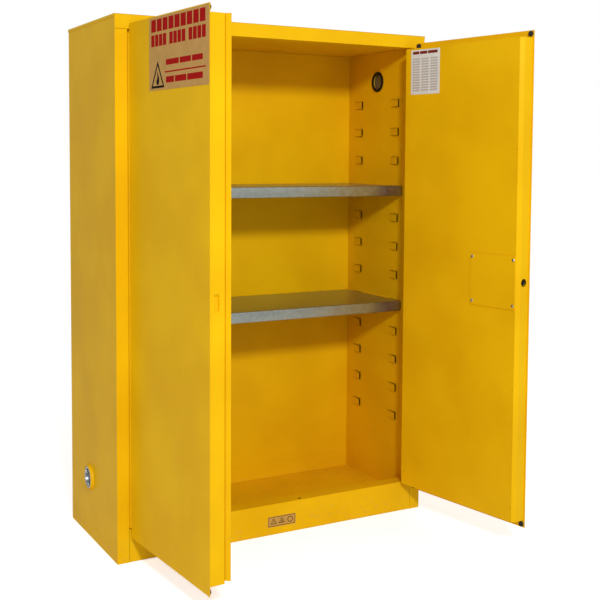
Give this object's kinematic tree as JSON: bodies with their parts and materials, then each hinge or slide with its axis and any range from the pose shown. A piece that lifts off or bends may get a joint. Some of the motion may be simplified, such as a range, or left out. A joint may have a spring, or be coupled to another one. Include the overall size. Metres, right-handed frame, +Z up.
{
  "type": "flammable storage cabinet",
  "caption": "Tall double-wall steel cabinet with two hinged doors, lift-off shelves, a liquid-tight sump and capped side vents.",
  "frame": {"origin": "centre of the flat underside, on the floor, midway between the sides and between the body's front and back planes", "axes": "+Z up; the door opening faces -Y; +X is to the right for someone facing the opening; the doors stand open at rest"},
  "size_m": [1.1817, 0.9832, 1.651],
  "materials": {
    "yellow_paint": "semi-gloss safety yellow powder coat over sheet steel",
    "galvanised_steel": "galvanised sheet steel, satin",
    "zinc_plate": "bright zinc plated steel",
    "dark_steel": "dark oiled steel",
    "chrome_plate": "chrome plated die casting",
    "black_rubber": "matte black rubber",
    "wire_mesh": "fine woven steel wire",
    "sign_film": "printed tan film",
    "paper_label": "printed grey-white card"
  },
  "bodies": {
    "cabinet": {"outer_side_left": "yellow_paint", "outer_side_right": "yellow_paint", "top_cover": "yellow_paint", "header": "yellow_paint", "outer_back": "yellow_paint", "base_plate": "yellow_paint", "sill": "yellow_paint", "base_label": "sign_film", "liner_left": "yellow_paint", "liner_right": "yellow_paint", "liner_back": "yellow_paint", "liner_top": "yellow_paint", "sump_pan": "yellow_paint", "vent_flange_left": "yellow_paint", "vent_flange_right": "yellow_paint", "flame_arrester_left": "wire_mesh", "flame_arrester_right": "wire_mesh", "vent_nut_left": "dark_steel", "vent_nut_right": "dark_steel", "hinge_left_frame_leaf": "yellow_paint", "hinge_right_frame_leaf": "yellow_paint", "hinge_left_pin": "yellow_paint", "hinge_right_pin": "yellow_paint"},
    "left_door": {"door_left_skin": "yellow_paint", "door_left_pan": "yellow_paint", "door_left_astragal": "yellow_paint", "caution_sign": "sign_film", "hinge_left_door_leaf": "yellow_paint", "bumper_left_top_hinge": "black_rubber", "bumper_left_top_latch": "black_rubber", "bumper_left_low_hinge": "black_rubber", "bumper_left_low_latch": "black_rubber"},
    "right_door": {"door_right_skin": "yellow_paint", "door_right_pan": "yellow_paint", "access_cover": "yellow_paint", "inspection_label": "paper_label", "hinge_right_door_leaf": "yellow_paint", "screw_upper_left": "zinc_plate", "screw_upper_right": "zinc_plate", "screw_lower_left": "zinc_plate", "screw_lower_right": "zinc_plate", "handle_plate": "chrome_plate", "rod_guide_top": "zinc_plate", "rod_guide_bottom": "zinc_plate", "bumper_right_top_hinge": "black_rubber", "bumper_right_top_latch": "black_rubber", "bumper_right_low_hinge": "black_rubber", "bumper_right_low_latch": "black_rubber"},
    "handle": {"handle_lever": "chrome_plate", "latch_cam": "zinc_plate"},
    "lock": {"lock_cylinder": "dark_steel"},
    "rod_top": {"latch_rod_top": "zinc_plate"},
    "rod_bottom": {"latch_rod_bottom": "zinc_plate"},
    "bolt": {"latch_bolt": "dark_steel"},
    "upper_shelf": {"shelf_upper": "galvanised_steel"},
    "lower_shelf": {"shelf_lower": "galvanised_steel"},
    "plug_left": {"vent_plug_left": "zinc_plate"},
    "plug_right": {"vent_plug_right": "zinc_plate"}
  },
  "joints": [
    {"name": "left_door_swing", "type": "hinge", "parent": "cabinet", "child": "left_door", "pos_m": [-0.5115, -0.239, 0.85], "axis": [0, 0, -1], "range_deg": [-86, 92]},
    {"name": "right_door_swing", "type": "hinge", "parent": "cabinet", "child": "right_door", "pos_m": [0.5115, -0.239, 0.85], "axis": [0, 0, 1], "range_deg": [-99.5, 78.5]},
    {"name": "handle_turn", "type": "hinge", "parent": "right_door", "child": "handle", "pos_m": [0.58247, -0.6631, 0.852], "axis": [-0.9863, -0.165, 0], "range_deg": [0, 90]},
    {"name": "lock_turn", "type": "hinge", "parent": "handle", "child": "lock", "pos_m": [0.58247, -0.6631, 0.852], "axis": [-0.9863, -0.165, 0], "range_deg": [0, 90]},
    {"name": "rod_top_slide", "type": "slide", "parent": "right_door", "child": "rod_top", "axis": [0, 0, 1], "range_m": [0, 0.02]},
    {"name": "rod_bottom_slide", "type": "slide", "parent": "right_door", "child": "rod_bottom", "axis": [0, 0, -1], "range_m": [0, 0.02]},
    {"name": "bolt_slide", "type": "slide", "parent": "right_door", "child": "bolt", "axis": [0.165, -0.9863, 0], "range_m": [0, 0.02]},
    {"name": "shelf_upper_lift", "type": "slide", "parent": "cabinet", "child": "upper_shelf", "axis": [0, 0, 1], "range_m": [0, 0.04]},
    {"name": "shelf_lower_lift", "type": "slide", "parent": "cabinet", "child": "lower_shelf", "axis": [0, 0, 1], "range_m": [0, 0.04]},
    {"name": "plug_left_turn", "type": "hinge", "parent": "cabinet", "child": "plug_left", "pos_m": [-0.5545, 0.03, 0.198], "axis": [-1, 0, 0], "range_deg": [0, 360]},
    {"name": "plug_right_turn", "type": "hinge", "parent": "cabinet", "child": "plug_right", "pos_m": [0.5545, 0, 1.508], "axis": [1, 0, 0], "range_deg": [0, 360]}
  ],
  "couplings": [
    {"joint": "rod_top_slide", "follows": "handle_turn", "m_per_rad": 0.01273},
    {"joint": "rod_bottom_slide", "follows": "handle_turn", "m_per_rad": 0.01273},
    {"joint": "bolt_slide", "follows": "handle_turn", "m_per_rad": 0.01273}
  ]
}
